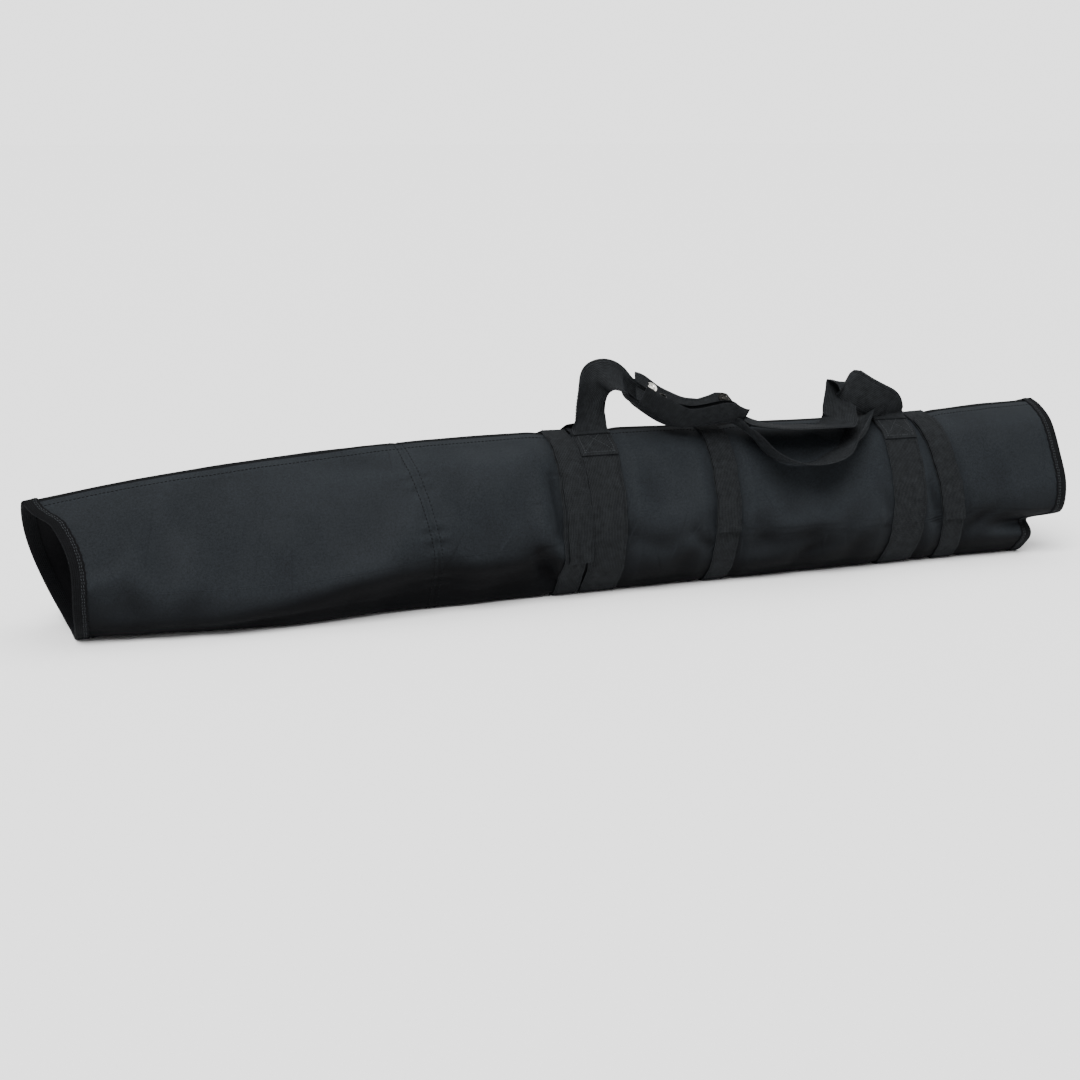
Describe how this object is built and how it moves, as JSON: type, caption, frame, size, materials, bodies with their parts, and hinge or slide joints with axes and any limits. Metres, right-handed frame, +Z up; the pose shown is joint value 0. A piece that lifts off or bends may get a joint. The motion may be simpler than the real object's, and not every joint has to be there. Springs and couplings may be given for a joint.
{
  "type": "telescope carry case",
  "caption": "Long soft sleeve case with open bound mouths, closure straps and two slumped webbing carry handles with a snap hand wrap.",
  "frame": {"origin": "on the floor under the ridge, at the underside of the left carry band", "axes": "+X along the case towards the square right mouth, -Y towards the front where the closure tabs end, +Z up"},
  "size_m": [1.0429, 0.1553, 0.223],
  "materials": {
    "shell_nylon": "satin coated weave",
    "webbing": "ribbed polypropylene webbing",
    "binding_tape": "grosgrain",
    "lining_nylon": "matte",
    "foam": "closed-cell foam sheet",
    "hook_loop": "matte pile",
    "nickel": "nickel-plated brass"
  },
  "bodies": {
    "case": {"front_panel_left": "shell_nylon", "front_panel_right": "shell_nylon", "base_panel_left": "shell_nylon", "base_panel_right": "shell_nylon", "back_panel_left": "shell_nylon", "back_panel_right": "shell_nylon", "foam_padding": "foam", "lining_sleeve": "lining_nylon", "closure_hook_tape": "hook_loop", "closure_loop_tape": "hook_loop", "closure_underlap": "shell_nylon", "mouth_binding_left": "binding_tape", "mouth_binding_right": "binding_tape", "carry_band_left": "webbing", "carry_band_right": "webbing", "closure_strap_left": "webbing", "closure_strap_middle": "webbing", "closure_strap_right": "webbing", "handle_foot_front_left": "webbing", "handle_foot_front_right": "webbing", "handle_foot_rear_left": "webbing", "handle_foot_rear_right": "webbing", "rear_leg_left": "webbing", "rear_leg_right": "webbing"},
    "handles": {"front_handle": "webbing", "rear_handle": "webbing", "hand_wrap_back": "webbing", "snap_socket_left": "nickel", "snap_socket_right": "nickel"},
    "wrap_flap": {"hand_wrap_flap": "webbing", "snap_stud_left": "nickel", "snap_stud_right": "nickel"},
    "left_tab": {"closure_tab_left": "webbing", "tab_hook_left": "hook_loop"},
    "middle_tab": {"closure_tab_middle": "webbing", "tab_hook_middle": "hook_loop"},
    "right_tab": {"closure_tab_right": "webbing", "tab_hook_right": "hook_loop"}
  },
  "joints": [
    {"name": "handles_swing", "type": "hinge", "parent": "case", "child": "handles", "pos_m": [0.1715, 0, 0.16006], "axis": [-1, 0, 0], "range_deg": [0, 55]},
    {"name": "wrap_close", "type": "hinge", "parent": "handles", "child": "wrap_flap", "pos_m": [0.054, -0.024, 0.17996], "axis": [-0.9667, 0.1184, 0.2269], "range_deg": [-20, 17]},
    {"name": "left_tab_peel", "type": "hinge", "parent": "case", "child": "left_tab", "pos_m": [-0.0275, -0.01847, 0.15327], "axis": [-1, 0, 0], "range_deg": [0, 85]},
    {"name": "middle_tab_peel", "type": "hinge", "parent": "case", "child": "middle_tab", "pos_m": [0.1325, -0.01845, 0.15085], "axis": [-1, 0, 0], "range_deg": [0, 50]},
    {"name": "right_tab_peel", "type": "hinge", "parent": "case", "child": "right_tab", "pos_m": [0.3735, -0.01847, 0.14921], "axis": [-1, 0, 0], "range_deg": [0, 85]}
  ]
}
